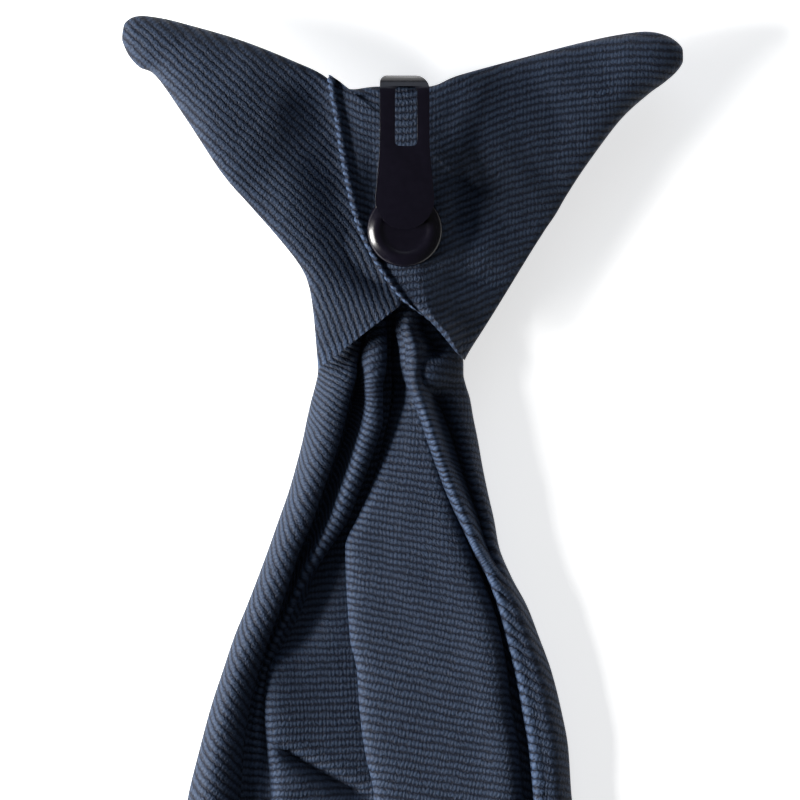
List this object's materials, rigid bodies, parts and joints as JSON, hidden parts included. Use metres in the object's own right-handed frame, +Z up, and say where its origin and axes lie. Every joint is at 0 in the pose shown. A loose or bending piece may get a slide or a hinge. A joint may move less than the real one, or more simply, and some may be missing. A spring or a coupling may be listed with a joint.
{
  "type": "clip on tie",
  "caption": "Ready-tied clip on necktie lying back up: winged knot of crossed cloth wraps, plastic collar hook and a full-length folded blade.",
  "frame": {"origin": "on the surface that the tie lies on, under the middle of its length and width", "axes": "+Y from the point of the blade towards the knot, +Z up out of the back of the tie, X across it"},
  "size_m": [0.101, 0.5, 0.0219],
  "materials": {
    "ribbed_cloth": "dark navy corded weave with a soft sheen",
    "black_plastic": "moulded, high gloss"
  },
  "bodies": {
    "root": {"left_wrap": "ribbed_cloth", "right_wrap": "ribbed_cloth", "knot_front": "ribbed_cloth", "blade": "ribbed_cloth", "clip_hook": "black_plastic", "clip_pad": "black_plastic"}
  },
  "joints": []
}
